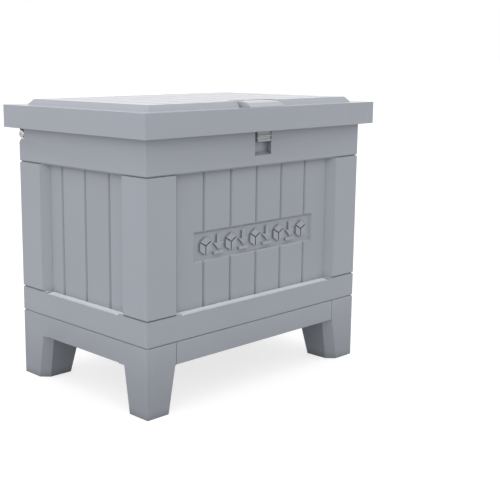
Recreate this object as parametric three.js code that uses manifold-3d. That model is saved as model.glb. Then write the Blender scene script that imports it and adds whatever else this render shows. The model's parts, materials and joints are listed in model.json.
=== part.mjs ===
// A free-standing parcel drop box: a planked moulded-plastic chest on four tapered legs, with a
// hinged lid that carries a motor-driven lock. Millimetres, +Z up. X runs along the width, the
// front faces -Y, and the origin is on the floor under the middle of the box.
import * as THREE from "three";
import { ConvexGeometry } from "three/addons/geometries/ConvexGeometry.js";
import { mergeVertices } from "three/addons/utils/BufferGeometryUtils.js";
import Module from "manifold-3d";

const wasm = await Module();
wasm.setup();

// ---------------------------------------------------------------- driving dimensions

// Body
const bodyWidth = 600;
const bodyDepth = 390;
const skirtBottom = 92; // height of the legs under the skirts
const skirtHeight = 44;
const lowerRailHeight = 49.5;
const postHeight = 258.5;
const upperRailHeight = 69; // from the posts up to the lid's rim
const recess = 15; // planks behind the outer faces
const plankThick = 8;
const plankRebate = 2.3; // each side of a plank panel's edge, where it sits in a post's groove
const edgeReach = 6; // how far that edge reaches into the post
const tongueHeight = 10; // tongues of posts and planks that stand in the rails
const keyIn = 9; // key along the top of the legs and skirts, in from the outer faces
const keyOut = 13;
const keyHeight = 3;
const wall = 4;
const postFront = 70.8; // flat width of a post on the front
const postSide = 67.8; // flat width of a post on the side
const postBevel = 15; // width of the bevel from a post down to the planks

// Legs: flat width on the front and on the side, at the skirt and at the floor
const legFrontTop = 68.6;
const legFrontFoot = 51.5;
const legSideTop = 65.6;
const legSideFoot = 50.7;
const legChamfer = 16;

// Planks and grooves
const plankPitch = 72.5;
const grooveWidth = 7;
const grooveDepth = 3.5;
const seamDepth = 3; // V-groove where two rings of the body meet
const legBevel = [3, 0.6]; // that groove's reach below and above each seam
const baseBevel = [1.6, 1.8];
const railBevel = [1, 3];
const ledgeFall = 2.6; // fall of the lower rail's ledge, from the planks out to its edge
const ledgeStep = 0.4; // and its drop at the planks

// Plaque on the front
const plaqueMargin = 42.4; // from the ends of the planked face
const plaqueHeight = 60;
const plaqueRise = 115.5; // its middle above the lower rail
const plaqueDepth = 5;
const signHeight = 38;
const signPitch = 34.5;
const signMargin = 22; // half a sign, kept clear of the plaque's ends
const signRelief = 3.6;
const signShare = 0.84; // size of a carton's faces in its sign, which leaves lines between them
const arrowHalf = 4.5; // shaft, head and tray of the arrow signs
const arrowHead = 13;
const arrowTray = 5;
const arrowRise = 3.5; // tip of the arrow over its tray

// Lid
const sideOverhang = 21;
const frontOverhang = 22.5;
const rimHeight = 45;
const ledgeSide = 35.65; // flat ledge round the raised panel, at the sides
const ledgeFront = 33.3; // and at the front and rear
const panelHeight = 11;
const panelRun = 9.3; // how far the raised panel's sloping edges come in
const lidLap = 15; // body wall that stands inside the rim
const linerWall = 3;
const linerFloor = 3.5;
const linerScrewSide = 60; // liner screws, in from the body's side faces
const linerScrewEnd = 45; // and in from its front and rear faces
const linerScrewMiddle = 80; // the rear middle pair, each side of the lid's middle
const bossRadius = 5;

// Lock cover on the lid, and the notch that it stands in
const notchHalf = 56;
const notchBack = 36; // how far the notch reaches in from the panel's foot
const coverHalf = 49.5;
const coverFront = 22; // how far the cover comes forward of the panel's foot
const coverHeight = 10.4;

// Lift tab and the finger pocket under it
const tabWidth = 37;
const tabThick = 6;
const tabDrop = 22; // under the rim's lower edge
const tabStem = 20;
const pocketWidth = 46;
const pocketDepth = 11;
const pocketDrop = 42; // under the rim's lower edge
const pocketSlope = 6;

// Hinge
const hingeInset = 6.5; // axis in from the rear face
const hingeDrop = 13; // axis under the rim
const rodRadius = 4;
const knuckleWall = 4.5; // round the rod
const knuckleWidth = 24;
const innerHinge = 100; // middle of the inner hinge, from the middle of the box
const capThick = 2.5;
const capLip = 4.3; // how far the rod's caps stand out round it
const rebateSlope = 7; // bevel under the hinge

// Lock
const lockHalf = 75;
const lockHeight = 50;
const lockWall = 2.5;
const lockPlate = 3; // roof of the housing and its ears
const earWidth = 12;
const coverThick = 3;
const columnSize = 8; // square columns that the cover is screwed to
const boltWidth = 14;
const boltHeight = 8;
const boltLength = 56;
const boltRise = 12; // above the lock's underside
const boltThrow = 12;
const boltX = 35;
const strikeThick = 1.5;
const strikeHeight = 22;
const strikeScrewX = 14; // each side of the bolt
const gearModule = 1.25;
const gearTeeth = 12;
const gearWidth = 8;
const shaftRadius = 1.5;

// Batteries
const cellRadius = 7.25;
const cellLength = 50.5;
const cellCount = 4;
const trayWall = 1.5;
const bayMargin = 11.25; // lock housing past the cells, front and rear
const baySide = 11; // battery bay in from the lock's left side
const barrelRadius = 2.5; // hinge of the battery door
const barrelHalf = 12;
const pinRadius = 1;

// Screws: shank radii
const linerShank = 1.6;
const strikeShank = 1.6;
const lockShank = 2;
const coverShank = 1.25;

// Floor
const floorThick = 6;
const floorLedge = 10;
const anchorRadius = 4.5;
const anchorInset = 60;

// Clearances
const gap = 0.3; // between pieces that touch
const running = 0.35; // round a turning shaft
const knuckleGap = 0.5; // between hinge knuckles
const knuckleRoom = 1; // round a hinge knuckle
const skirtGap = 1; // seam between a skirt and the legs beside it
const lockGap = 4; // lock housing to the body's inner wall
const mouthEase = 0.8; // round the bolt where it enters the strike
const cellEase = 1; // past each end of a battery
const cellGap = 0.5; // between batteries
const backlash = 0.3;

// ---------------------------------------------------------------- derived places

// Heights
const legSeam = skirtBottom + skirtHeight;
const postBase = legSeam + lowerRailHeight;
const railSeam = postBase + postHeight;
const rimBottom = railSeam + upperRailHeight;
const bodyTop = rimBottom + lidLap;
const linerBottom = bodyTop + gap;
const ledge = rimBottom + rimHeight;
const panelTop = ledge + panelHeight;
const floorBottom = legSeam + wall + gap;
const plaqueMiddle = postBase + plaqueRise;
const tabBottom = rimBottom - tabDrop;
const pocketBottom = rimBottom - pocketDrop;

// Plan
const halfW = bodyWidth / 2;
const halfD = bodyDepth / 2;
const railDepth = recess + plankThick; // how far rails and posts reach in from the outer faces
const innerW = halfW - railDepth;
const innerD = halfD - railDepth;
const frontHalf = halfW - postFront - postBevel - gap;
const sideHalf = halfD - postSide - postBevel - gap;
const plaqueWidth = 2 * (frontHalf - plaqueMargin);
const lidHalfW = halfW + sideOverhang;
const lidHalfD = halfD + frontOverhang;
const panelHalfW = lidHalfW - ledgeSide;
const panelHalfD = lidHalfD - ledgeFront;

// Tongues and edges, measured in from the body's outer faces
const tongueIn = recess + gap;
const tongueOut = railDepth - wall - gap;
const slotOut = tongueOut + gap;
const edgeIn = recess + plankRebate;
const edgeOut = railDepth - plankRebate;

// Hinge
const hingeY = halfD - hingeInset;
const hingeZ = rimBottom - hingeDrop;
const knuckleRadius = rodRadius + knuckleWall;
const hingeFloor = hingeZ - knuckleRadius - knuckleRoom;
const rebateWall = hingeY - knuckleRadius - knuckleRoom;
const hingeReach = halfW - capThick - 2 * gap; // outer end of the outermost knuckle
const outerHinge = hingeReach - knuckleWidth / 2;
const knuckleStep = knuckleWidth + knuckleGap;

// Lock
const lockTop = linerBottom - gap;
const lockBottom = lockTop - lockHeight;
const coverTop = lockBottom + coverThick;
const lockFront = -innerD + lockGap;
const lockY = [lockFront, lockFront + cellLength + 2 * bayMargin];
const boltZ = [lockBottom + boltRise, lockBottom + boltRise + boltHeight];
const boltMiddle = (boltZ[0] + boltZ[1]) / 2;

// ---------------------------------------------------------------- solids

function solid(geometry) {
  const bare = new THREE.BufferGeometry();
  bare.setAttribute("position", geometry.getAttribute("position"));
  bare.setIndex(geometry.index);
  const merged = mergeVertices(bare, 1e-4);
  const mesh = new wasm.Mesh({
    numProp: 3,
    vertProperties: new Float32Array(merged.attributes.position.array),
    triVerts: new Uint32Array(merged.index.array),
  });
  return new wasm.Manifold(mesh);
}

function block([x0, x1], [y0, y1], [z0, z1]) {
  const box = new THREE.BoxGeometry(x1 - x0, y1 - y0, z1 - z0);
  return solid(box.translate((x0 + x1) / 2, (y0 + y1) / 2, (z0 + z1) / 2));
}

function outline(points) {
  return new THREE.Shape(points.map(([x, y]) => new THREE.Vector2(x, y)));
}

// An outline in X and Y, raised along Z.
function prismZ(points, [z0, z1]) {
  const options = { depth: z1 - z0, bevelEnabled: false };
  return solid(new THREE.ExtrudeGeometry(outline(points), options).translate(0, 0, z0));
}

// An outline in Y and Z, drawn out along X.
function prismX(points, [x0, x1]) {
  const options = { depth: x1 - x0, bevelEnabled: false };
  const turn = new THREE.Matrix4().makeBasis(
    new THREE.Vector3(0, 1, 0),
    new THREE.Vector3(0, 0, 1),
    new THREE.Vector3(1, 0, 0),
  );
  const drawn = new THREE.ExtrudeGeometry(outline(points), options);
  return solid(drawn.applyMatrix4(turn).translate(x0, 0, 0));
}

// An outline in X and Z, drawn out along Y.
function prismY(points, [y0, y1]) {
  const options = { depth: y1 - y0, bevelEnabled: false };
  const drawn = new THREE.ExtrudeGeometry(outline(points), options);
  return solid(drawn.rotateX(Math.PI / 2).translate(0, y1, 0));
}

function hull(points) {
  return solid(new ConvexGeometry(points.map((p) => new THREE.Vector3(...p))));
}

function rodX(radius, [x0, x1], y, z, sides = 20) {
  const rod = new THREE.CylinderGeometry(radius, radius, x1 - x0, sides);
  return solid(rod.rotateZ(Math.PI / 2).translate((x0 + x1) / 2, y, z));
}

function rodY(radius, [y0, y1], x, z, sides = 20) {
  const rod = new THREE.CylinderGeometry(radius, radius, y1 - y0, sides);
  return solid(rod.translate(x, (y0 + y1) / 2, z));
}

function rodZ(radius, [z0, z1], x, y, sides = 20) {
  const rod = new THREE.CylinderGeometry(radius, radius, z1 - z0, sides);
  return solid(rod.rotateX(Math.PI / 2).translate(x, y, (z0 + z1) / 2));
}

function join(...parts) {
  return parts.reduce((whole, part) => whole.add(part));
}

function cut(whole, ...parts) {
  return parts.reduce((left, part) => left.subtract(part), whole);
}

// A rectangular ring between two distances in from the body's outer faces.
function ring(outer, inner, z) {
  const around = block([outer - halfW, halfW - outer], [outer - halfD, halfD - outer], z);
  const within = [z[0] - 1, z[1] + 1];
  return cut(around, block([inner - halfW, halfW - inner], [inner - halfD, halfD - inner], within));
}

// A V-groove that runs all round the body's outer faces, with its floor at height z.
function seamGroove(z, [below, above]) {
  const outside = 2;
  const spread = 1 + outside / seamDepth;
  const section = [
    [outside, z - below * spread],
    [outside, z + above * spread],
    [-seamDepth, z],
  ];
  const along = (half) => section.map(([out, height]) => [half + out, height]);
  const mirrored = (points) => points.map(([across, height]) => [-across, height]);
  const x = [-halfW - 10, halfW + 10];
  const y = [-halfD - 10, halfD + 10];
  return join(
    prismX(along(halfD), x),
    prismX(mirrored(along(halfD)), x),
    prismY(along(halfW), y),
    prismY(mirrored(along(halfW)), y),
  );
}

// Distances from the middle at which grooves part the planks of a face.
function grooveLines(half) {
  const reach = Math.round(half / plankPitch) - 1;
  return Array.from({ length: 2 * reach + 1 }, (_, i) => (i - reach) * plankPitch);
}

// ---------------------------------------------------------------- materials

function material(color, roughness, metalness = 0) {
  return new THREE.MeshStandardMaterial({ color, roughness, metalness });
}

const shellGrey = material(0x9a9ca5, 0.55);
const innerGrey = material(0x86888f, 0.6);
const tabGrey = material(0xb9bcc2, 0.45);
const lockBlack = material(0x2a2c30, 0.5);
const steel = material(0xb4b6ba, 0.3, 1);
const screwSteel = material(0x8d9096, 0.35, 1);
const boardGreen = material(0x1f5a3a, 0.4);
const cellBlack = material(0x24262b, 0.35);
const nickel = material(0xc9c6bc, 0.28, 1);
const gearWhite = material(0xe6e4dc, 0.5);

const root = new THREE.Group();

function piece(group, name, whole, look) {
  const { vertProperties, triVerts, numProp } = whole.getMesh();
  const count = vertProperties.length / numProp;
  const positions = new Float32Array(count * 3);
  for (let i = 0; i < count; i++) {
    positions.set(vertProperties.subarray(i * numProp, i * numProp + 3), i * 3);
  }
  const geometry = new THREE.BufferGeometry();
  geometry.setAttribute("position", new THREE.BufferAttribute(positions, 3));
  geometry.setIndex(new THREE.BufferAttribute(triVerts, 1));
  geometry.computeVertexNormals();
  const mesh = new THREE.Mesh(geometry, look);
  mesh.name = name;
  group.add(mesh);
  return mesh;
}

// ---------------------------------------------------------------- body shell

const body = new THREE.Group();
root.add(body);

// The hollow rail under the lid, slotted underneath for the posts' and planks' tongues.
function upperFrame() {
  const frame = ring(0, railDepth, [railSeam, bodyTop]);
  const cavity = ring(wall, slotOut, [railSeam + wall, bodyTop - wall]);
  const slot = ring(recess, slotOut, [railSeam - 1, railSeam + wall + 1]);
  const rearSolid = block(
    [-halfW, halfW],
    [innerD, halfD],
    [hingeFloor - wall, bodyTop],
  );
  const pocketBlock = block(
    [-pocketWidth / 2 - wall, pocketWidth / 2 + wall],
    [-halfD, -halfD + pocketDepth + wall],
    [pocketBottom - pocketSlope - wall, bodyTop],
  );
  const hollow = join(cut(cavity, rearSolid, pocketBlock), slot);
  const shell = cut(frame, seamGroove(railSeam, railBevel), hollow, fingerPocket(), hingeRebate());
  return cut(join(shell, ...bodyKnuckles()), hingeBore(), boltMouth());
}

function fingerPocket() {
  const section = [
    [-halfD - 1, pocketBottom - pocketSlope],
    [-halfD, pocketBottom - pocketSlope],
    [-halfD + pocketDepth, pocketBottom],
    [-halfD + pocketDepth, bodyTop + 1],
    [-halfD - 1, bodyTop + 1],
  ];
  return prismX(section, [-pocketWidth / 2, pocketWidth / 2]);
}

// The corner cut away along the rear edge, where the hinge lies.
function hingeRebate() {
  const section = [
    [rebateWall, hingeFloor],
    [halfD - rebateSlope, hingeFloor],
    [halfD, hingeFloor - rebateSlope],
    [halfD + 1, hingeFloor - rebateSlope],
    [halfD + 1, bodyTop + 1],
    [rebateWall, bodyTop + 1],
  ];
  return prismX(section, [-halfW - 1, halfW + 1]);
}

function bodyKnuckles() {
  const middles = [outerHinge - knuckleStep, innerHinge + knuckleStep, innerHinge - knuckleStep];
  const webDrop = 2.5;
  return middles.flatMap((middle) =>
    [-1, 1].map((side) => {
      const x = [side * middle - knuckleWidth / 2, side * middle + knuckleWidth / 2];
      const web = block(x, [rebateWall - 1, halfD], [hingeFloor - webDrop, hingeZ]);
      return join(web, rodX(knuckleRadius, x, hingeY, hingeZ));
    }),
  );
}

function hingeBore() {
  return rodX(rodRadius + running, [-halfW - 1, halfW + 1], hingeY, hingeZ);
}

// The opening that the bolt enters, a little wider than the bolt.
function boltOpening(y) {
  return block(
    [boltX - boltWidth / 2 - mouthEase, boltX + boltWidth / 2 + mouthEase],
    y,
    [boltZ[0] - mouthEase, boltZ[1] + mouthEase],
  );
}

function boltMouth() {
  const y = [-innerD - wall - 1, -innerD + 1];
  const holes = [-1, 1].map((side) =>
    rodY(strikeShank + gap, y, boltX + side * strikeScrewX, boltMiddle, 16),
  );
  return join(boltOpening(y), ...holes);
}

function lowerFrame() {
  const bottomWall = 6;
  const frame = ring(0, railDepth, [legSeam, postBase]);
  const shelf = ring(railDepth - 1, railDepth + floorLedge, [legSeam, legSeam + wall]);
  const cavity = ring(wall, slotOut, [legSeam + bottomWall, postBase - wall]);
  const slot = ring(recess, slotOut, [postBase - wall - 1, postBase + 1]);
  const key = ring(keyIn - gap, keyOut + gap, [legSeam - 1, legSeam + keyHeight + gap]);
  const grooves = join(seamGroove(postBase, baseBevel), seamGroove(legSeam, legBevel));
  return cut(join(frame, shelf), grooves, cavity, slot, key, ...ledgeSlopes());
}

// Wedges that slope the ledge in front of the planks down and out, so that rain runs off it.
function ledgeSlopes() {
  const slope = (half) => [
    [half + recess / ledgeFall, postBase - ledgeStep - ledgeFall - 1],
    [half + recess / ledgeFall, postBase + 1],
    [half - recess - 1, postBase + 1],
    [half - recess - 1, postBase - ledgeStep + ledgeFall / recess],
  ];
  const mirrored = (points) => points.map(([across, height]) => [-across, height]);
  return [
    prismX(slope(halfD), [-frontHalf, frontHalf]),
    prismX(mirrored(slope(halfD)), [-frontHalf, frontHalf]),
    prismY(slope(halfW), [-sideHalf, sideHalf]),
    prismY(mirrored(slope(halfW)), [-sideHalf, sideHalf]),
  ];
}

piece(body, "upper_frame", upperFrame(), shellGrey);
piece(body, "lower_frame", lowerFrame(), shellGrey);

// A corner post, in a corner's own coordinates: u in from the side face, v in from the front.
function cornerPost(sideX, sideY) {
  const at = ([u, v]) => [sideX * (halfW - u), sideY * (halfD - v)];
  const uEnd = postFront + postBevel;
  const vEnd = postSide + postBevel;
  const column = [postBase + gap, railSeam - gap];
  const section = [
    [0, 0],
    [postFront, 0],
    [uEnd, recess],
    [uEnd, railDepth],
    [railDepth, railDepth],
    [railDepth, vEnd],
    [recess, vEnd],
    [0, postSide],
  ];
  const tongue = [
    [tongueIn, tongueIn],
    [uEnd - gap, tongueIn],
    [uEnd - gap, tongueOut],
    [tongueOut, tongueOut],
    [tongueOut, vEnd - gap],
    [tongueIn, vEnd - gap],
  ];
  const lightening = [
    [wall, wall],
    [postFront - wall, wall],
    [postFront - wall, recess],
    [recess, recess],
    [recess, postSide - wall],
    [wall, postSide - wall],
  ];
  const reach = edgeReach + gap;
  const grooves = [
    [
      [uEnd - reach, edgeIn - gap],
      [uEnd + 1, edgeIn - gap],
      [uEnd + 1, edgeOut + gap],
      [uEnd - reach, edgeOut + gap],
    ],
    [
      [edgeIn - gap, vEnd - reach],
      [edgeIn - gap, vEnd + 1],
      [edgeOut + gap, vEnd + 1],
      [edgeOut + gap, vEnd - reach],
    ],
  ];
  const through = [column[0] - 1, column[1] + 1];
  const tongueZ = [column[0] - tongueHeight, column[1] + tongueHeight];
  return cut(
    join(prismZ(section.map(at), column), prismZ(tongue.map(at), tongueZ)),
    prismZ(lightening.map(at), through),
    ...grooves.map((points) => prismZ(points.map(at), through)),
    seamGroove(postBase, baseBevel),
    seamGroove(railSeam, railBevel),
  );
}

const posts = [
  ["corner_post_front_left", -1, -1],
  ["corner_post_front_right", 1, -1],
  ["corner_post_rear_left", -1, 1],
  ["corner_post_rear_right", 1, 1],
];
for (const [name, sideX, sideY] of posts) {
  piece(body, name, cornerPost(sideX, sideY), shellGrey);
}

// A planked panel, built facing -Y with its outer face at y = face.
function plankPanel(half, face) {
  const column = [postBase + gap, railSeam - gap];
  const inward = (depth) => face + depth - recess;
  const sheet = block([-half, half], [inward(recess), inward(railDepth)], column);
  const tongueZ = [column[0] - tongueHeight, column[1] + tongueHeight];
  const tongue = block([1 - half, half - 1], [inward(tongueIn), inward(tongueOut)], tongueZ);
  const edge = block(
    [-half - edgeReach, half + edgeReach],
    [inward(edgeIn), inward(edgeOut)],
    column,
  );
  const grooves = grooveLines(half).map((x) => {
    const reach = (grooveWidth / 2) * (1 + 1 / grooveDepth);
    const section = [
      [x - reach, inward(recess) - 1],
      [x + reach, inward(recess) - 1],
      [x, inward(recess) + grooveDepth],
    ];
    return prismZ(section, [tongueZ[0] - 1, tongueZ[1] + 1]);
  });
  return cut(join(sheet, tongue, edge), ...grooves);
}

const frontFace = -halfD + recess;
const sideFace = -halfW + recess;

// A carton seen corner on: its top and two sides as three raised faces.
function parcelSign(x, z, y) {
  const corner = (degrees) => {
    const angle = (degrees * Math.PI) / 180;
    return [(signHeight / 2) * Math.cos(angle), (signHeight / 2) * Math.sin(angle)];
  };
  const faces = [30, 150, 270].map((start) => {
    const points = [[0, 0], corner(start), corner(start + 60), corner(start + 120)];
    const middle = corner(start + 60).map((value) => value / 2);
    const shrunk = points.map(([dx, dz]) => [
      x + middle[0] + signShare * (dx - middle[0]),
      z + middle[1] + signShare * (dz - middle[1]),
    ]);
    return prismY(shrunk, y);
  });
  return join(...faces);
}

// An arrow that points down at a tray.
function arrowSign(x, z, y) {
  const h = signHeight / 2;
  const tray = arrowTray - h;
  const tip = tray + arrowRise;
  const neck = tip + arrowHead;
  const points = [
    [-arrowHalf, h],
    [-arrowHalf, neck],
    [-arrowHead, neck],
    [0, tip],
    [arrowHead, neck],
    [arrowHalf, neck],
    [arrowHalf, h],
  ];
  const arrow = prismY(points.map(([dx, dz]) => [x + dx, z + dz]), y);
  return join(arrow, block([x - arrowHead, x + arrowHead], y, [z - h, z + tray]));
}

function plaqueRecess() {
  const corners = (grow, y) =>
    [-1, 1].flatMap((sx) =>
      [-1, 1].map((sz) => [
        sx * (plaqueWidth / 2 + grow),
        y,
        plaqueMiddle + sz * (plaqueHeight / 2 + grow),
      ]),
    );
  return hull([...corners(1, frontFace - 1), ...corners(-plaqueDepth, frontFace + plaqueDepth)]);
}

function plaqueSigns() {
  const y = [frontFace + plaqueDepth - signRelief, frontFace + plaqueDepth + 1];
  const signCount = 2 * Math.floor((plaqueWidth / 2 - signMargin) / signPitch) + 1;
  return Array.from({ length: signCount }, (_, i) => {
    const x = (i - (signCount - 1) / 2) * signPitch;
    return i % 2 ? arrowSign(x, plaqueMiddle, y) : parcelSign(x, plaqueMiddle, y);
  });
}

const frontPanel = join(cut(plankPanel(frontHalf, frontFace), plaqueRecess()), ...plaqueSigns());
piece(body, "front_panel", frontPanel, shellGrey);
piece(body, "rear_panel", plankPanel(frontHalf, frontFace), shellGrey).rotation.z = Math.PI;
piece(body, "left_panel", plankPanel(sideHalf, sideFace), shellGrey).rotation.z = -Math.PI / 2;
piece(body, "right_panel", plankPanel(sideHalf, sideFace), shellGrey).rotation.z = Math.PI / 2;

// ---------------------------------------------------------------- legs, skirts and floor

// The outline of a leg at one height, shrunk by inset on every side.
function legOutline(front, side, inset) {
  const c = legChamfer;
  const slant = inset * (Math.SQRT2 - 1);
  return [
    [inset, inset],
    [front - slant, inset],
    [front + c - inset, c + slant],
    [front + c - inset, side + c - inset],
    [c + slant, side + c - inset],
    [inset, side - slant],
  ];
}

// One leg from the floor up to the skirt's lower edge, at a corner of the body.
function leg(sideX, sideY, inset, foot, top) {
  const at = ([u, v], z) => [sideX * (halfW - u), sideY * (halfD - v), z];
  const lower = legOutline(legFrontFoot, legSideFoot, inset).map((p) => at(p, foot));
  const upper = legOutline(legFrontTop, legSideTop, inset).map((p) => at(p, top));
  return hull([...lower, ...upper]);
}

const legTop = skirtBottom - gap;
const legBlockDepth = legSideTop + legChamfer;

// Two legs and the side skirt between them, moulded in one piece, on the left side.
function legFrame() {
  const crown = [legTop - 1, legSeam - gap];
  const inside = [legTop - 2, legSeam + 1];
  const parts = [];
  const holes = [];
  for (const sideY of [-1, 1]) {
    const span = (v0, v1) => [sideY * (halfD - v0), sideY * (halfD - v1)].sort((a, b) => a - b);
    parts.push(leg(-1, sideY, 0, 0, legTop));
    parts.push(block([-halfW, -halfW + postFront], span(0, legBlockDepth), crown));
    holes.push(leg(-1, sideY, wall, wall, legTop + 0.5));
    const room = [-halfW + wall, -halfW + postFront - wall];
    holes.push(block(room, span(wall, legBlockDepth - wall), inside));
  }
  const between = halfD - legBlockDepth + 1;
  const skirt = [skirtBottom, legSeam - gap];
  parts.push(block([-halfW, -innerW], [-between, between], skirt));
  const channel = [-halfW + wall, -innerW - wall];
  const open = halfD - legBlockDepth;
  holes.push(block(channel, [-open, open], [skirtBottom - 1, legSeam - wall]));
  const frame = cut(join(...parts), ...holes, seamGroove(legSeam, legBevel));
  const key = block(
    [-halfW + keyIn, -halfW + keyOut],
    [-open, open],
    [legSeam - wall, legSeam + keyHeight],
  );
  return join(frame, key);
}

// The skirt that closes the front, or the rear, between the two leg frames.
function frontSkirt() {
  const end = halfW - postFront - skirtGap;
  const skirt = block([-end, end], [-halfD, -innerD], [skirtBottom, legSeam - gap]);
  const channel = block(
    [-end + wall, end - wall],
    [-halfD + wall, -innerD - wall],
    [skirtBottom - 1, legSeam - wall],
  );
  const key = block(
    [-end, end],
    [-halfD + keyIn, -halfD + keyOut],
    [legSeam - wall, legSeam + keyHeight],
  );
  return join(cut(skirt, channel, seamGroove(legSeam, legBevel)), key);
}

function floorPanel() {
  const x = innerW - gap;
  const y = innerD - gap;
  const sheet = block([-x, x], [-y, y], [floorBottom, floorBottom + floorThick]);
  const holes = [-1, 1].flatMap((sx) =>
    [-1, 1].map((sy) =>
      rodZ(
        anchorRadius,
        [floorBottom - 1, floorBottom + floorThick + 1],
        sx * (innerW - anchorInset),
        sy * (innerD - anchorInset),
      ),
    ),
  );
  return cut(sheet, ...holes);
}

piece(body, "left_leg_frame", legFrame(), shellGrey);
piece(body, "right_leg_frame", legFrame(), shellGrey).rotation.z = Math.PI;
piece(body, "front_skirt", frontSkirt(), shellGrey);
piece(body, "rear_skirt", frontSkirt(), shellGrey).rotation.z = Math.PI;
piece(body, "floor_panel", floorPanel(), innerGrey);

// ---------------------------------------------------------------- fasteners

// A slotted round-headed screw with its head below z = 0 and its shank standing up to z = length.
function screw(headRadius, headHeight, shankRadius, length) {
  const profile = [
    [0, -headHeight],
    [headRadius * 0.7, -headHeight],
    [headRadius, -headHeight * 0.45],
    [headRadius, 0],
    [shankRadius, 0],
    [shankRadius, length - shankRadius],
    [0, length],
  ];
  const turned = profile.map(([r, z]) => new THREE.Vector2(r, z));
  const blank = solid(new THREE.LatheGeometry(turned, 12).rotateX(Math.PI / 2));
  const slot = headRadius * 0.62;
  const deep = [-headHeight - 1, -headHeight * 0.5];
  return cut(blank, block([-slot, slot], [-0.5, 0.5], deep));
}

function place(mesh, x, y, z) {
  mesh.position.set(x, y, z);
  return mesh;
}

// ---------------------------------------------------------------- strike and hinge rod

function strikePlate() {
  const half = strikeScrewX + 7;
  const y = [-innerD + gap, -innerD + gap + strikeThick];
  const z = [boltMiddle - strikeHeight / 2, boltMiddle + strikeHeight / 2];
  const plate = block([boltX - half, boltX + half], y, z);
  const through = [y[0] - 1, y[1] + 1];
  const holes = [-1, 1].map((side) =>
    rodY(strikeShank + gap, through, boltX + side * strikeScrewX, boltMiddle, 16),
  );
  return cut(plate, boltOpening(through), ...holes);
}

piece(body, "strike_plate", strikePlate(), steel);
for (const [name, side] of [["left", -1], ["right", 1]]) {
  const fixing = piece(body, `strike_screw_${name}`, screw(3, 1.2, strikeShank, 7), screwSteel);
  fixing.rotation.x = Math.PI / 2;
  const face = -innerD + strikeThick + 2 * gap;
  place(fixing, boltX + side * strikeScrewX, face, boltMiddle);
}

const rodEnd = hingeReach + gap;
piece(body, "hinge_rod", rodX(rodRadius, [-rodEnd, rodEnd], hingeY, hingeZ), steel);
for (const [name, side] of [["left", -1], ["right", 1]]) {
  const x = [side * (rodEnd + gap), side * (rodEnd + gap + capThick)].sort((a, b) => a - b);
  piece(body, `hinge_cap_${name}`, rodX(rodRadius + capLip, x, hingeY, hingeZ), nickel);
}

// ---------------------------------------------------------------- lid

const lid = new THREE.Group();
root.add(lid);

function linerScrewPlaces() {
  const x = halfW - linerScrewSide;
  const y = halfD - linerScrewEnd;
  return [
    ["front_left", -x, -y],
    ["front_right", x, -y],
    ["rear_left", -x, y],
    ["rear_right", x, y],
    ["rear_middle_left", -linerScrewMiddle, y],
    ["rear_middle_right", linerScrewMiddle, y],
  ];
}

// The raised panel as a block with sloping edges, shrunk by inset.
function raisedPanel(inset, z0, z1) {
  const corners = (halfX, halfY, z) =>
    [-1, 1].flatMap((sx) => [-1, 1].map((sy) => [sx * halfX, sy * halfY, z]));
  const x = panelHalfW - inset;
  const y = panelHalfD - inset;
  const run = (panelRun * (z1 - ledge)) / panelHeight;
  return hull([
    ...corners(x, y, z0),
    ...corners(x, y, ledge),
    ...corners(x - run, y - run, z1),
  ]);
}

function lidShell() {
  const rim = block([-lidHalfW, lidHalfW], [-lidHalfD, lidHalfD], [rimBottom, ledge]);
  const underside = ledge - wall;
  const room = block(
    [-lidHalfW + wall, lidHalfW - wall],
    [-lidHalfD + wall, lidHalfD - wall],
    [rimBottom - 1, underside],
  );
  const notch = (grow, z) =>
    block(
      [-notchHalf - grow, notchHalf + grow],
      [-panelHalfD - 10, -panelHalfD + notchBack + grow],
      z,
    );
  const underPanel = cut(
    raisedPanel(wall, underside - 1, panelTop - wall),
    notch(wall, [underside - 2, panelTop]),
  );
  const grooves = grooveLines(panelHalfW).map((x) => {
    const reach = (grooveWidth / 2) * (1 + 1 / grooveDepth);
    const section = [
      [x - reach, panelTop + 1],
      [x + reach, panelTop + 1],
      [x, panelTop - grooveDepth],
    ];
    return prismY(section, [-lidHalfD, lidHalfD]);
  });
  const bosses = [];
  const pilots = [];
  const bossFoot = linerBottom + linerFloor + gap;
  for (const [, x, y] of linerScrewPlaces()) {
    bosses.push(rodZ(bossRadius, [bossFoot, panelTop - wall + 1], x, y, 16));
    pilots.push(rodZ(linerShank + gap, [bossFoot - 1, bossFoot + 14], x, y, 16));
  }
  const shell = cut(join(rim, raisedPanel(0, ledge - 1, panelTop)), room, underPanel);
  const notched = cut(shell, notch(0, [ledge, panelTop + 1]), ...grooves);
  return cut(join(notched, ...bosses), ...pilots);
}

const linerX = lidHalfW - wall - gap;
const linerY = lidHalfD - wall - gap;

function lidKnuckles() {
  return [outerHinge, innerHinge].flatMap((middle) =>
    [-1, 1].map((side) => {
      const x = [side * middle - knuckleWidth / 2, side * middle + knuckleWidth / 2];
      const y = [hingeY - knuckleRadius, hingeY + knuckleRadius];
      const web = block(x, y, [hingeZ, linerBottom + 1]);
      return join(web, rodX(knuckleRadius, x, hingeY, hingeZ));
    }),
  );
}

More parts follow.
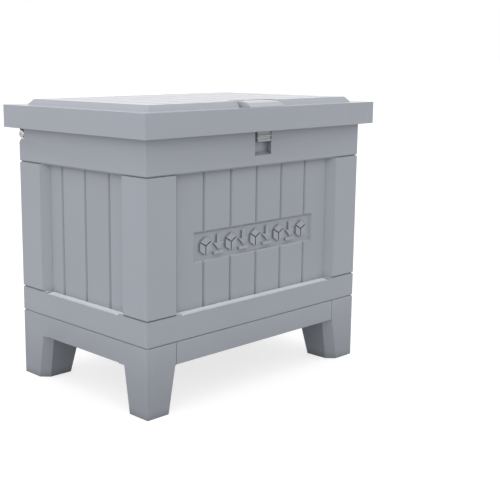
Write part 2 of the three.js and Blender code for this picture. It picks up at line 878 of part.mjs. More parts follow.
function lidLiner() {
  const top = ledge - wall - gap;
  const tray = block([-linerX, linerX], [-linerY, linerY], [linerBottom, top]);
  const room = block(
    [-linerX + linerWall, linerX - linerWall],
    [-linerY + linerWall, linerY - linerWall],
    [linerBottom + linerFloor, top + 1],
  );
  const floor = [linerBottom - 1, linerBottom + linerFloor + 1];
  const fixings = linerScrewPlaces().map(([, x, y]) => rodZ(linerShank + gap, floor, x, y, 16));
  const lockFixings = lockScrewPlaces().map(([, x, y]) => rodZ(lockShank + gap, floor, x, y, 16));
  const tabFixing = block(
    [-tabStem / 2 - gap, tabStem / 2 + gap],
    [tabY[0] + 1 - gap, tabY[1] - 1 + gap],
    floor,
  );
  return cut(
    join(cut(tray, room), ...lidKnuckles()),
    hingeBore(),
    ...fixings,
    ...lockFixings,
    tabFixing,
  );
}

// The screws through the lock's ears into the liner.
function lockScrewPlaces() {
  const x = lockHalf + earWidth / 2;
  return [
    ["front_left", -x, lockY[0] + 10],
    ["front_right", x, lockY[0] + 10],
    ["rear_left", -x, lockY[1] - 10],
    ["rear_right", x, lockY[1] - 10],
  ];
}

const tabY = [-halfD - 1.5, -halfD - 1.5 + tabThick];

// The tab that fingers pull up: a plate with two ridges, hung from the liner by a stem.
function liftTab() {
  const x = [-tabWidth / 2, tabWidth / 2];
  const plate = block(x, tabY, [tabBottom, linerBottom - gap]);
  const ridge = (z, height) =>
    prismX(
      [
        [tabY[0] + 0.5, z],
        [tabY[0] - 2, z + height * 0.25],
        [tabY[0] - 2, z + height * 0.75],
        [tabY[0] + 0.5, z + height],
      ],
      x,
    );
  const stem = block(
    [-tabStem / 2, tabStem / 2],
    [tabY[0] + 1, tabY[1] - 1],
    [linerBottom - 1, linerBottom + linerFloor + 4],
  );
  return join(plate, ridge(tabBottom, 5), ridge(tabBottom + 9, 5), stem);
}

// The cover over the lock: low, with a long front slope and inset ends.
function lockCover() {
  const foot = ledge + gap;
  const top = ledge + coverHeight;
  const front = -panelHalfD - coverFront;
  const back = -panelHalfD + notchBack - 1;
  const inset = 3.3;
  const profile = [
    [front, foot, 0],
    [front + 10.6, foot + (top - foot) * 0.72, inset],
    [front + 19, top - 0.9, inset + 0.8],
    [front + 28, top, inset + 1],
    [back - 3, top, inset + 1],
    [back, foot, 0],
  ];
  const points = profile.flatMap(([y, z, end]) =>
    [-1, 1].map((side) => [side * (coverHalf - end), y, z]),
  );
  return hull(points);
}

piece(lid, "lid_shell", lidShell(), shellGrey);
piece(lid, "lid_liner", lidLiner(), innerGrey);
piece(lid, "lock_cover", lockCover(), shellGrey);
piece(lid, "lift_tab", liftTab(), tabGrey);
for (const [name, x, y] of linerScrewPlaces()) {
  const fixing = piece(lid, `liner_screw_${name}`, screw(3.6, 2, linerShank, 14), screwSteel);
  place(fixing, x, y, linerBottom - gap);
}

// ---------------------------------------------------------------- lock

const lock = new THREE.Group();
lid.add(lock);

function lockHousing() {
  const shell = block([-lockHalf, lockHalf], lockY, [coverTop + gap, lockTop]);
  const ears = block(
    [-lockHalf - earWidth, lockHalf + earWidth],
    lockY,
    [lockTop - lockPlate, lockTop],
  );
  const room = block(
    [-lockHalf + lockWall, lockHalf - lockWall],
    [lockY[0] + lockWall, lockY[1] - lockWall],
    [coverTop, lockTop - lockPlate],
  );
  const columns = coverScrewPlaces().map(([, x, y]) =>
    block(
      [x - columnSize / 2, x + columnSize / 2],
      [y - columnSize / 2, y + columnSize / 2],
      [coverTop + gap, lockTop - lockPlate + 1],
    ),
  );
  const pilots = coverScrewPlaces().map(([, x, y]) =>
    rodZ(coverShank + gap, [coverTop, coverTop + 12], x, y, 16),
  );
  const earHoles = lockScrewPlaces().map(([, x, y]) =>
    rodZ(lockShank + gap, [lockTop - lockPlate - 1, lockTop + 1], x, y, 16),
  );
  return cut(
    join(cut(join(shell, ears), room), ...columns),
    ...pilots,
    ...earHoles,
    boltOpening([lockY[0] - 1, lockY[0] + lockWall + 1]),
  );
}

function coverScrewPlaces() {
  const x = lockHalf - columnSize / 2 - 1;
  const y = [lockY[0] + columnSize / 2 + 1, lockY[1] - columnSize / 2 - 1];
  return [
    ["front_left", -x, y[0]],
    ["front_right", x, y[0]],
    ["rear_left", -x, y[1]],
    ["rear_right", x, y[1]],
  ];
}

// Battery bay, on the left of the lock
const cellPitch = 2 * cellRadius + cellGap;
const bayLeft = baySide - lockHalf;
const bayX = [bayLeft, bayLeft + cellPitch * cellCount];
const bayCentre = (bayX[0] + bayX[1]) / 2;
const bayMiddle = (lockY[0] + lockY[1]) / 2;
const bayReach = cellLength / 2 + cellEase;
const bayY = [bayMiddle - bayReach, bayMiddle + bayReach];
const cellZ = coverTop + 2 + cellRadius;
const doorAxisY = bayY[1] + trayWall + 4;
const doorAxisZ = lockBottom - barrelRadius;
const barrelX = [bayCentre - barrelHalf, bayCentre + barrelHalf];
const barrelEar = 4; // width of the ears that hold the door's pin

function housingCover() {
  const sheet = block([-lockHalf, lockHalf], lockY, [lockBottom, coverTop]);
  const hatch = block(bayX, [bayY[0], bayY[1] + trayWall], [lockBottom - 1, coverTop + 1]);
  const holes = coverScrewPlaces().map(([, x, y]) =>
    rodZ(coverShank + gap, [lockBottom - 1, coverTop + 1], x, y, 16),
  );
  const ears = [
    [barrelX[0] - barrelEar - gap, barrelX[0] - gap],
    [barrelX[1] + gap, barrelX[1] + barrelEar + gap],
  ].map((x) =>
    join(
      block(
        x,
        [doorAxisY - barrelRadius, doorAxisY + barrelRadius],
        [doorAxisZ, lockBottom + 1],
      ),
      rodX(barrelRadius, x, doorAxisY, doorAxisZ, 16),
    ),
  );
  const pin = rodX(pinRadius + running, [bayX[0] - 5, bayX[1] + 5], doorAxisY, doorAxisZ, 16);
  return cut(join(cut(sheet, hatch, ...holes), ...ears), pin);
}

function batteryDoor() {
  const sheet = block(
    [bayX[0] + gap, bayX[1] - gap],
    [bayY[0] + gap, bayY[1] + trayWall - gap],
    [lockBottom, lockBottom + 2],
  );
  const arm = prismX(
    [
      [bayY[1] - 4, lockBottom + 1],
      [bayY[1] - 4, lockBottom - 1.5],
      [doorAxisY, doorAxisZ - barrelRadius],
      [doorAxisY, lockBottom - 0.6],
      [bayY[1] + 1, lockBottom - 0.6],
      [bayY[1] + 1, lockBottom + 1],
    ],
    barrelX,
  );
  const barrel = rodX(barrelRadius - gap, barrelX, doorAxisY, doorAxisZ, 16);
  const grip = [0, 3, 6].map((step) =>
    block(
      [barrelX[0], barrelX[1]],
      [bayY[0] + 5 + step, bayY[0] + 6.2 + step],
      [lockBottom - 0.8, lockBottom + 1],
    ),
  );
  const pin = rodX(pinRadius + running, [bayX[0] - 5, bayX[1] + 5], doorAxisY, doorAxisZ, 16);
  return cut(join(sheet, arm, barrel, ...grip), pin);
}

function batteryTray() {
  const z = [coverTop + gap, cellZ + cellRadius + gap + trayWall];
  const box = block(
    [bayX[0] - trayWall, bayX[1] + trayWall],
    [bayY[0] - trayWall, bayY[1] + trayWall],
    z,
  );
  return cut(box, block(bayX, bayY, [z[0] - 1, z[1] - trayWall]));
}

const cells = Array.from({ length: cellCount }, (_, i) => bayX[0] + cellPitch * (i + 0.5));

// A cylindrical cell along Y with its button end at the rear.
function batteryCell() {
  const half = cellLength / 2;
  const profile = [
    [0, -half],
    [cellRadius - 0.8, -half],
    [cellRadius, -half + 0.8],
    [cellRadius, half - 1.8],
    [cellRadius - 0.8, half - 1],
    [2.7, half - 1],
    [2.7, half],
    [0, half],
  ];
  return solid(new THREE.LatheGeometry(profile.map(([r, y]) => new THREE.Vector2(r, y)), 18));
}

function contactStrip(end) {
  const y = end < 0 ? [bayY[0] + gap, bayY[0] + 0.7] : [bayY[1] - 0.7, bayY[1] - gap];
  return block([bayX[0] + 2, bayX[1] - 2], y, [cellZ - 4, cellZ + 4]);
}

// The pinion sits over the bolt, and the rack along the bolt's top is in mesh with it.
const pitchRadius = (gearModule * gearTeeth) / 2;
const toothTop = 0.64 * gearModule;
const toothRoot = gearModule;
const rackLine = boltZ[1] + toothRoot - 0.05;
const gearZ = rackLine + pitchRadius;
const gearY = lockY[0] + 33;
const toothPitch = Math.PI * gearModule;
const pressureAngle = (20 * Math.PI) / 180;

function lockBolt() {
  const front = lockY[0] + gap;
  const back = front + boltLength;
  const x = [boltX - boltWidth / 2, boltX + boltWidth / 2];
  const nose = 1.5;
  const bar = prismX(
    [
      [front, boltZ[0] + nose],
      [front + nose, boltZ[0]],
      [back, boltZ[0]],
      [back, boltZ[1]],
      [front + nose, boltZ[1]],
      [front, boltZ[1] - nose],
    ],
    x,
  );
  const rackX = [boltX - gearWidth / 2 - 1, boltX + gearWidth / 2 + 1];
  const halfTooth = (toothPitch - backlash) / 4;
  const lean = Math.tan(pressureAngle);
  // The pinion's lowest point faces the middle of the second tooth. The rest pass it as the bolt goes out.
  const toothCount = Math.ceil(boltThrow / toothPitch) + 3;
  const teeth = Array.from({ length: toothCount }, (_, k) => {
    const y = gearY + (k - 1) * toothPitch;
    const foot = halfTooth + toothRoot * lean;
    const tip = halfTooth - toothTop * lean;
    const section = [
      [y - foot, boltZ[1] - 0.5],
      [y + foot, boltZ[1] - 0.5],
      [y + foot, boltZ[1]],
      [y + tip, rackLine + toothTop],
      [y - tip, rackLine + toothTop],
      [y - foot, boltZ[1]],
    ];
    return prismX(section, rackX);
  });
  return join(bar, ...teeth);
}

// An involute pinion along X, turned so that a gap faces straight down.
function drivePinion() {
  const base = pitchRadius * Math.cos(pressureAngle);
  const tip = pitchRadius + toothTop;
  const root = pitchRadius - toothRoot;
  const inv = (angle) => Math.tan(angle) - angle;
  const halfAtPitch = Math.PI / 2 / gearTeeth - backlash / 4 / pitchRadius;
  const halfAt = (radius) => {
    const angle = Math.acos(Math.min(1, base / radius));
    return halfAtPitch + inv(pressureAngle) - inv(angle);
  };
  const radii = [base, base + 0.35, pitchRadius, tip];
  const points = [];
  for (let k = 0; k < gearTeeth; k++) {
    const middle = (2 * Math.PI * (k + 0.5)) / gearTeeth - Math.PI / 2;
    const polar = (radius, angle) => [
      gearY + radius * Math.cos(middle + angle),
      gearZ + radius * Math.sin(middle + angle),
    ];
    points.push(polar(root, -halfAt(base)));
    radii.forEach((radius) => points.push(polar(radius, -halfAt(radius))));
    [...radii].reverse().forEach((radius) => points.push(polar(radius, halfAt(radius))));
    points.push(polar(root, halfAt(base)));
  }
  const x = [boltX - gearWidth / 2, boltX + gearWidth / 2];
  const hub = rodX(root - 0.4, [x[1] - 0.5, x[1] + 1.5], gearY, gearZ, 20);
  const bore = rodX(shaftRadius + gap, [x[0] - 1, x[1] + 3], gearY, gearZ, 16);
  return cut(join(prismX(points, x), hub), bore);
}

const motorX = boltX + gearWidth / 2 + 2.5;

// Gearbox with a round motor behind it, and a bore for the output shaft.
function gearMotor() {
  const boxLength = 9;
  const canLength = 14;
  const box = block([motorX, motorX + boxLength], [gearY - 6, gearY + 6], [gearZ - 5, gearZ + 5]);
  const can = cut(
    rodX(6, [motorX + boxLength - 0.5, motorX + boxLength + canLength], gearY, gearZ, 28),
    block([motorX, motorX + 40], [gearY - 8, gearY + 8], [gearZ + 5, gearZ + 8]),
    block([motorX, motorX + 40], [gearY - 8, gearY + 8], [gearZ - 8, gearZ - 5]),
  );
  return cut(
    join(box, can),
    rodX(shaftRadius + gap, [motorX - 1, motorX + 5], gearY, gearZ, 16),
  );
}

function motorShaft() {
  return rodX(shaftRadius, [boltX - gearWidth / 2 - 2, motorX + 4], gearY, gearZ, 16);
}

// A channel of sheet steel that the bolt slides in.
function boltGuide() {
  const side = 1.5;
  const inner = [boltX - boltWidth / 2 - gap, boltX + boltWidth / 2 + gap];
  const y = [lockY[0] + lockWall + gap, lockY[1] - lockWall - columnSize];
  const z = [boltZ[0] - gap - side, boltZ[1] - 2];
  const outer = block([inner[0] - side, inner[1] + side], y, z);
  return cut(outer, block(inner, [y[0] - 1, y[1] + 1], [boltZ[0] - gap, z[1] + 1]));
}

function circuitBoard() {
  const z = cellZ + cellRadius + gap + trayWall + 4;
  const x = [-lockHalf + lockWall + 12, boltX - boltWidth / 2 - 8];
  const y = [lockY[0] + lockWall + 12, lockY[1] - lockWall - 12];
  const board = block(x, y, [z, z + 1.6]);
  const chip = block([x[0] + 14, x[0] + 26], [y[0] + 8, y[0] + 20], [z + 1, z + 3.2]);
  const radio = block([x[0] + 42, x[0] + 62], [y[0] + 6, y[0] + 22], [z + 1, z + 4]);
  const storage = rodZ(4, [z + 1, z + 9], x[0] + 34, y[1] - 10, 20);
  const plug = block([x[1] - 14, x[1] - 4], [y[1] - 9, y[1] - 1], [z + 1, z + 6]);
  return join(board, chip, radio, storage, plug);
}

piece(lock, "lock_housing", lockHousing(), lockBlack);
piece(lock, "housing_cover", housingCover(), lockBlack);
piece(lock, "battery_tray", batteryTray(), lockBlack);
piece(lock, "contact_strip_front", contactStrip(-1), nickel);
piece(lock, "contact_strip_rear", contactStrip(1), nickel);
cells.forEach((x, i) => {
  const cell = piece(lock, `battery_${i + 1}`, batteryCell(), cellBlack);
  cell.rotation.z = i % 2 ? Math.PI : 0;
  place(cell, x, bayMiddle, cellZ);
});
piece(lock, "circuit_board", circuitBoard(), boardGreen);
piece(lock, "gear_motor", gearMotor(), steel);
piece(lock, "bolt_guide", boltGuide(), steel);
const doorPin = [barrelX[0] - barrelEar, barrelX[1] + barrelEar];
piece(lock, "door_pin", rodX(pinRadius, doorPin, doorAxisY, doorAxisZ, 16), steel);
for (const [name, x, y] of lockScrewPlaces()) {
  const fixing = piece(lock, `lock_screw_${name}`, screw(4.2, 2.4, lockShank, 7.5), screwSteel);
  place(fixing, x, y, lockTop - lockPlate - gap);
}
for (const [name, x, y] of coverScrewPlaces()) {
  const fixing = piece(lock, `cover_screw_${name}`, screw(2.8, 1.6, coverShank, 11), screwSteel);
  place(fixing, x, y, lockBottom - gap);
}

piece(lock, "lock_bolt", lockBolt(), steel);
piece(lock, "drive_pinion", drivePinion(), gearWhite);
piece(lock, "motor_shaft", motorShaft(), steel);
piece(lock, "battery_door", batteryDoor(), lockBlack);

export default root;
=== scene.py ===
import json
import math
import random

import bmesh
import bpy
from mathutils import Matrix, Vector


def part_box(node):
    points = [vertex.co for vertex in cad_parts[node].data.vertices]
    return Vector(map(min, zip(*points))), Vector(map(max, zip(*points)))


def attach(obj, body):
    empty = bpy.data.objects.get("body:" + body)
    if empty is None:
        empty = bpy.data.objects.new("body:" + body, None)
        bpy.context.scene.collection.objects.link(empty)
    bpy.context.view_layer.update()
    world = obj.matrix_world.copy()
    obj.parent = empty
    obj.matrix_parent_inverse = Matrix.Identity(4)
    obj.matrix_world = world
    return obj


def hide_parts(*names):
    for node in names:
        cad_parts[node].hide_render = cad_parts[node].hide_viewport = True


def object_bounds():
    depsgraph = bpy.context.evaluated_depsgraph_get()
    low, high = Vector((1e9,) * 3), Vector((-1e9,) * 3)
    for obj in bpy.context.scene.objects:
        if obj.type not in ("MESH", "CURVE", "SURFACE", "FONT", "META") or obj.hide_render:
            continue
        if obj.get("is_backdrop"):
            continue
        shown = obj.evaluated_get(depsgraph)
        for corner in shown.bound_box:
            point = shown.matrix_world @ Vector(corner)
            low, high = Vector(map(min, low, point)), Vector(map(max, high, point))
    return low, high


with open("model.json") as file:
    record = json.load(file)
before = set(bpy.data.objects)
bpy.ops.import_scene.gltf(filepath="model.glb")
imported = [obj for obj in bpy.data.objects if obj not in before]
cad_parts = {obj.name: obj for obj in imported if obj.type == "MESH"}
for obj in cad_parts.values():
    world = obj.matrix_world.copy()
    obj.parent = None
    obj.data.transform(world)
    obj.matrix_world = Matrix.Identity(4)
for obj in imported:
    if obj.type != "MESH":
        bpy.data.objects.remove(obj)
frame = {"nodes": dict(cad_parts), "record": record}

# A free-standing parcel drop box: satin slate-grey moulded plastic round a black lock unit.
# Everything is in metres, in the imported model's own frame: X width, the front faces -Y, Z up.

CAD_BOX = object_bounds()
NODES = frame["nodes"]
MM = 0.001

# ------------------------------------------------------------------ camera

CAMERA_PLACE = (-1.387, -1.446, 0.652)
CAMERA_YAW = 42.74  # degrees to the right of +Y
CAMERA_PITCH = -10.63
CAMERA_LENS = 69.2
CAMERA_SHIFT = (0.1488, -0.0258)


def make_camera():
    data = bpy.data.cameras.new("camera")
    data.lens = CAMERA_LENS
    data.shift_x, data.shift_y = CAMERA_SHIFT
    camera = bpy.data.objects.new("camera", data)
    camera.location = CAMERA_PLACE
    turn = (math.radians(90 + CAMERA_PITCH), 0, -math.radians(CAMERA_YAW))
    camera.rotation_euler = turn
    bpy.context.scene.collection.objects.link(camera)
    bpy.context.scene.camera = camera


# ------------------------------------------------------------------ stage and light

WHITE = (1.0, 1.0, 1.0, 1.0)
FLOOR_HALF = 80  # far enough that the floor meets the background unseen
FLOOR_GREY = 0.42
FLOOR_GLOW = 0.72
BOUNCE_HALF = 12
BOUNCE_DROP = 0.5 * MM
BOUNCE_GREY = 0.56
SKY_STRENGTH = 1.0


def grey(value):
    return (value, value, value, 1)


def flat_plane(name, half, height):
    plan = [(-half, -half), (half, -half), (half, half), (-half, half)]
    corners = [(x, y, height) for x, y in plan]
    mesh = bpy.data.meshes.new(name)
    mesh.from_pydata(corners, [], [(0, 1, 2, 3)])
    plane = bpy.data.objects.new(name, mesh)
    bpy.context.scene.collection.objects.link(plane)
    look = bpy.data.materials.new(name)
    look.use_nodes = True
    mesh.materials.append(look)
    plane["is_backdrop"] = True
    shader = look.node_tree.nodes["Principled BSDF"]
    shader.inputs["Roughness"].default_value = 0.9
    shader.inputs["Specular IOR Level"].default_value = 0.1
    return plane, shader


def make_floor():
    """A pale floor that glows a little, so that it is white up to the horizon, and a duller one
    just under it that throws light back up at the box."""
    seen, shader = flat_plane("floor", FLOOR_HALF, 0)
    shader.inputs["Base Color"].default_value = grey(FLOOR_GREY)
    shader.inputs["Emission Color"].default_value = WHITE
    shader.inputs["Emission Strength"].default_value = FLOOR_GLOW
    seen.visible_diffuse = False
    seen.visible_glossy = False
    bounce, shader = flat_plane("floor_bounce", BOUNCE_HALF, -BOUNCE_DROP)
    shader.inputs["Base Color"].default_value = grey(BOUNCE_GREY)
    bounce.visible_camera = False
    bounce.visible_shadow = False


def make_world():
    world = bpy.data.worlds.new("studio")
    world.use_nodes = True
    sky = world.node_tree.nodes["Background"]
    sky.inputs["Color"].default_value = WHITE
    sky.inputs["Strength"].default_value = SKY_STRENGTH
    bpy.context.scene.world = world


def softbox(name, place, target, size, energy):
    data = bpy.data.lights.new(name, "AREA")
    data.shape = "RECTANGLE"
    data.size, data.size_y = size
    data.energy = energy
    lamp = bpy.data.objects.new(name, data)
    lamp.location = place
    aim = Vector(target) - Vector(place)
    lamp.rotation_euler = aim.to_track_quat("-Z", "Y").to_euler()
    bpy.context.scene.collection.objects.link(lamp)


def make_lights():
    middle = (0, 0, 0.3)
    softbox("top_light", (-0.2, 0.1, 3.2), middle, (3.0, 3.0), 14)
    softbox("left_light", (-3.2, -0.6, 1.4), middle, (2.0, 2.0), 9)


# ------------------------------------------------------------------ material helpers


class Look:
    """A node material, built from its Principled shader backwards."""

    def __init__(self, name, colour, roughness, metallic=0.0, **sockets):
        self.material = bpy.data.materials.new(name)
        self.material.use_nodes = True
        self.tree = self.material.node_tree
        self.shader = self.tree.nodes["Principled BSDF"]
        self.set("Base Color", (*colour, 1))
        self.set("Roughness", roughness)
        self.set("Metallic", metallic)
        for socket, value in sockets.items():
            self.set(socket.replace("_", " "), value)
        self.normal = None

    def set(self, socket, value):
        self.shader.inputs[socket].default_value = value

    def node(self, kind, **inputs):
        made = self.tree.nodes.new(kind)
        for socket, value in inputs.items():
            self.feed(made, socket.replace("_", " "), value)
        return made

    def feed(self, node, socket, value):
        if isinstance(value, bpy.types.NodeSocket):
            self.tree.links.new(value, node.inputs[socket])
        else:
            node.inputs[socket].default_value = value

    def place(self, stretch=(1, 1, 1)):
        """Coordinates in metres in the piece's own frame."""
        where = self.node("ShaderNodeTexCoord").outputs["Object"]
        if stretch == (1, 1, 1):
            return where
        mapping = self.node("ShaderNodeMapping", Vector=where, Scale=stretch)
        return mapping.outputs["Vector"]

    def noise(self, scale, detail=2.0, stretch=(1, 1, 1), roughness=0.5):
        made = self.node(
            "ShaderNodeTexNoise",
            Vector=self.place(stretch),
            Scale=scale,
            Detail=detail,
            Roughness=roughness,
        )
        return made.outputs["Fac"]

    def between(self, value, low, high, to_low=0.0, to_high=1.0):
        made = self.node("ShaderNodeMapRange", Value=value)
        made.inputs["From Min"].default_value = low
        made.inputs["From Max"].default_value = high
        made.inputs["To Min"].default_value = to_low
        made.inputs["To Max"].default_value = to_high
        return made.outputs["Result"]

    def mix(self, share, first, second):
        made = self.tree.nodes.new("ShaderNodeMix")
        made.data_type = "RGBA"
        for index, value in ((0, share), (6, first), (7, second)):
            if isinstance(value, bpy.types.NodeSocket):
                self.tree.links.new(value, made.inputs[index])
            else:
                made.inputs[index].default_value = value
        return made.outputs[2]

    def times(self, first, second):
        made = self.node("ShaderNodeMath")
        made.operation = "MULTIPLY"
        self.feed(made, 0, first)
        self.feed(made, 1, second)
        return made.outputs[0]

    def normal_rise(self):
        """How far the surface faces up, from -1 to 1."""
        geometry = self.node("ShaderNodeNewGeometry")
        split = self.node("ShaderNodeSeparateXYZ", Vector=geometry.outputs["Normal"])
        return split.outputs["Z"]

    def height(self):
        """Metres along Z in the piece's own frame."""
        return self.node("ShaderNodeSeparateXYZ", Vector=self.place()).outputs["Z"]

    def colour(self, value):
        self.feed(self.shader, "Base Color", value)

    def roughness(self, value):
        self.feed(self.shader, "Roughness", value)

    def bump(self, height, distance, strength=1.0):
        """Adds a height map over those that are already there."""
        made = self.node("ShaderNodeBump", Height=height, Distance=distance, Strength=strength)
        if self.normal:
            self.feed(made, "Normal", self.normal)
        self.normal = made.outputs["Normal"]
        self.feed(self.shader, "Normal", self.normal)


def shade(colour, factor):
    return (*(channel * factor for channel in colour), 1)


# Painted light: pale colour laid on level ledges under a wall, in place of the top light the
# overhang blocks.
LEDGE_LIGHT = (0.85, 0.87, 0.9, 1)
LEVEL = (0.88, 0.97)  # rise of the normal over which a face counts as level
WALLED = (0.99, 0.86)  # open share over which a face counts as under a wall
LID_HEIGHTS = (0.3, 0.5)  # metres over which the painted ledge light thins out, from the lower rail to the lid
LID_LEDGE_LIGHT = 0.15
# Painted shade: the plastic darkens towards the floor, low down on the legs.
LOW_SHADE_HEIGHTS = (0.15, 0.03)
LOW_SHADE_MOST = 0.24
SHADE_BRIGHTNESS = 0.3  # brightness of the painted shade low on the legs and in deep crevices, as a share of the plastic's


def paint_ledge_light_and_low_shade(look, base, colour, open_share):
    """Painted light: a pale coat on level ledges under a wall, standing in for top light there, and
    painted shade darkening low down on the legs.
    """
    # Painted light: up-facing faces under a wall are mixed towards a pale colour.
    level = look.between(look.normal_rise(), *LEVEL)
    walled = look.between(open_share, *WALLED)
    height = look.height()
    thinned = look.between(height, *LID_HEIGHTS, 1, LID_LEDGE_LIGHT)
    ledge_light_share = look.times(look.times(level, walled), thinned)
    ledge_lit = look.mix(ledge_light_share, base, LEDGE_LIGHT)
    # Painted shade: darker towards the floor.
    low_down = look.between(height, *LOW_SHADE_HEIGHTS, 0, LOW_SHADE_MOST)
    return look.mix(low_down, ledge_lit, shade(colour, SHADE_BRIGHTNESS))


# Painted shade: crevices, grooves and recesses are darkened by their ambient occlusion.
CREVICE_REACH = 22 * MM
CREVICE_OPEN = (0.25, 0.9)  # open share over which crevice shading fades out
CREVICE_MOST = 0.62
# Painted highlight: convex edges, found by pointiness, are lightened.
EDGE_POINTINESS = (0.53, 0.62)
EDGE_HIGHLIGHT = 0.35
COAT_ROUGHNESS = 0.12


def moulded_plastic(name, colour, roughness=0.34, grain=0.03, gloss=0.0, ledge_light_and_low_shade=False):
    """Satin moulded plastic: faint mottling, a fine stipple, painted shade in crevices and a
    painted highlight that lightens convex edges.
    """
    shine = {"Specular_IOR_Level": 0.5, "Coat_Weight": gloss, "Coat_Roughness": COAT_ROUGHNESS}
    look = Look(name, colour, roughness, **shine)
    cloudy = look.between(look.noise(5, 3), 0.35, 0.65)
    base = look.mix(cloudy, shade(colour, 0.97), shade(colour, 1.03))
    fleck = look.between(look.noise(1400, 1), 0.3, 0.7)
    speckled = look.mix(fleck, shade(colour, 0.96), shade(colour, 1.04))
    blended = look.mix(0.4, base, speckled)
    # Painted highlight: convex edges mixed towards a lighter copy of the colour.
    pointed = look.node("ShaderNodeNewGeometry").outputs["Pointiness"]
    highlight_share = look.between(pointed, *EDGE_POINTINESS, 0, EDGE_HIGHLIGHT)
    edge_lit = look.mix(highlight_share, blended, shade(colour, 1.2))
    # Painted shade: colour darkened where ambient occlusion is high.
    open_share = look.node("ShaderNodeAmbientOcclusion", Distance=CREVICE_REACH).outputs["AO"]
    shaded = look.between(open_share, *CREVICE_OPEN, CREVICE_MOST, 0)
    painted_light_and_shade = look.mix(shaded, edge_lit, shade(colour, SHADE_BRIGHTNESS))
    if ledge_light_and_low_shade:
        painted_light_and_shade = paint_ledge_light_and_low_shade(look, painted_light_and_shade, colour, open_share)
    look.colour(painted_light_and_shade)
    look.roughness(look.between(look.noise(60, 3), 0.3, 0.7, roughness - 0.04, roughness + 0.05))
    look.bump(look.noise(14, 2), 0.25 * MM, 0.5)
    look.bump(look.noise(900, 2), grain * MM, 0.8)
    return look.material


def plated_metal(name, colour, roughness, stretch):
    """Bright metal with fine drawing marks along its length."""
    look = Look(name, colour, roughness, 1.0)
    marks = look.noise(1800, 3, stretch)
    look.roughness(look.between(marks, 0.3, 0.7, roughness - 0.07, roughness + 0.1))
    stain = look.between(look.noise(90, 4), 0.35, 0.7)
    look.colour(look.mix(stain, shade(colour, 0.88), shade(colour, 1.04)))
    look.bump(marks, 0.01 * MM, 0.6)
    return look.material


SLATE = (0.354, 0.374, 0.422)

LOOKS = {
    "shell_plastic": moulded_plastic("shell_plastic", SLATE, gloss=0.6, ledge_light_and_low_shade=True),
    "inner_plastic": moulded_plastic("inner_plastic", (0.24, 0.248, 0.28), 0.5),
    "tab_plastic": moulded_plastic("tab_plastic", (0.46, 0.47, 0.5), 0.38, 0.02),
    "lock_plastic": moulded_plastic("lock_plastic", (0.022, 0.023, 0.026), 0.42, 0.06),
    "steel": plated_metal("steel", (0.62, 0.62, 0.61), 0.28, (0.02, 1, 1)),
    "screw_steel": plated_metal("screw_steel", (0.5, 0.5, 0.49), 0.32, (1, 1, 1)),
    "nickel_plate": plated_metal("nickel_plate", (0.84, 0.84, 0.83), 0.2, (1, 1, 1)),
    "board": moulded_plastic("board", (0.01, 0.09, 0.04), 0.3, 0.01),
    "battery_sleeve": moulded_plastic("battery_sleeve", (0.02, 0.02, 0.024), 0.25, 0.01),
    "gear_plastic": moulded_plastic("gear_plastic", (0.75, 0.74, 0.69), 0.4, 0.01),
}

# ------------------------------------------------------------------ rounded edges

SHARP = math.radians(33)
SHORT_EDGE = 8 * MM
LONG_EDGE = 50 * MM
SHORT_SHARE = 0.22  # rounding of short edges, as a share of that of long ones


def edge_group():
    """Nodes that shade a whole mesh smooth and give longer sharp edges a wider rounding."""
    group = bpy.data.node_groups.new("edge_rounding", "GeometryNodeTree")
    face = group.interface
    face.new_socket("Geometry", in_out="INPUT", socket_type="NodeSocketGeometry")
    face.new_socket("Geometry", in_out="OUTPUT", socket_type="NodeSocketGeometry")
    new, link = group.nodes.new, group.links.new
    start, end = new("NodeGroupInput"), new("NodeGroupOutput")

    angle = new("GeometryNodeInputMeshEdgeAngle")
    is_sharp = new("FunctionNodeCompare")
    is_sharp.inputs[1].default_value = SHARP
    link(angle.outputs["Unsigned Angle"], is_sharp.inputs[0])

    ends = new("GeometryNodeInputMeshEdgeVertices")
    span = new("ShaderNodeVectorMath")
    span.operation = "DISTANCE"
    link(ends.outputs["Position 1"], span.inputs[0])
    link(ends.outputs["Position 2"], span.inputs[1])
    share = new("ShaderNodeMapRange")
    share.inputs["From Min"].default_value = SHORT_EDGE
    share.inputs["From Max"].default_value = LONG_EDGE
    share.inputs["To Min"].default_value = SHORT_SHARE
    link(span.outputs["Value"], share.inputs["Value"])
    weight = new("ShaderNodeMath")
    weight.operation = "MULTIPLY"
    link(share.outputs["Result"], weight.inputs[0])
    link(is_sharp.outputs[0], weight.inputs[1])

    smooth = new("GeometryNodeSetShadeSmooth")
    store = new("GeometryNodeStoreNamedAttribute")
    store.domain = "EDGE"
    store.inputs["Name"].default_value = "bevel_weight_edge"
    link(start.outputs[0], smooth.inputs["Geometry"])
    link(smooth.outputs[0], store.inputs["Geometry"])
    link(weight.outputs[0], store.inputs["Value"])
    link(store.outputs[0], end.inputs[0])
    return group


EDGE_GROUP = edge_group()


def round_edges(piece, width, segments=3):
    merge = piece.modifiers.new("merge_faces", "DECIMATE")
    merge.decimate_type = "DISSOLVE"
    merge.angle_limit = math.radians(1)
    weigh = piece.modifiers.new("weigh_edges", "NODES")
    weigh.node_group = EDGE_GROUP
    bevel = piece.modifiers.new("round_edges", "BEVEL")
    bevel.limit_method = "WEIGHT"
    bevel.width = width
    bevel.segments = segments
    bevel.use_clamp_overlap = False
    normals = piece.modifiers.new("even_normals", "WEIGHTED_NORMAL")
    normals.keep_sharp = False


def dress(node, slot, width):
    piece = NODES[node]
    piece.data.materials.clear()
    piece.data.materials.append(LOOKS[slot])
    if width:
        round_edges(piece, width)


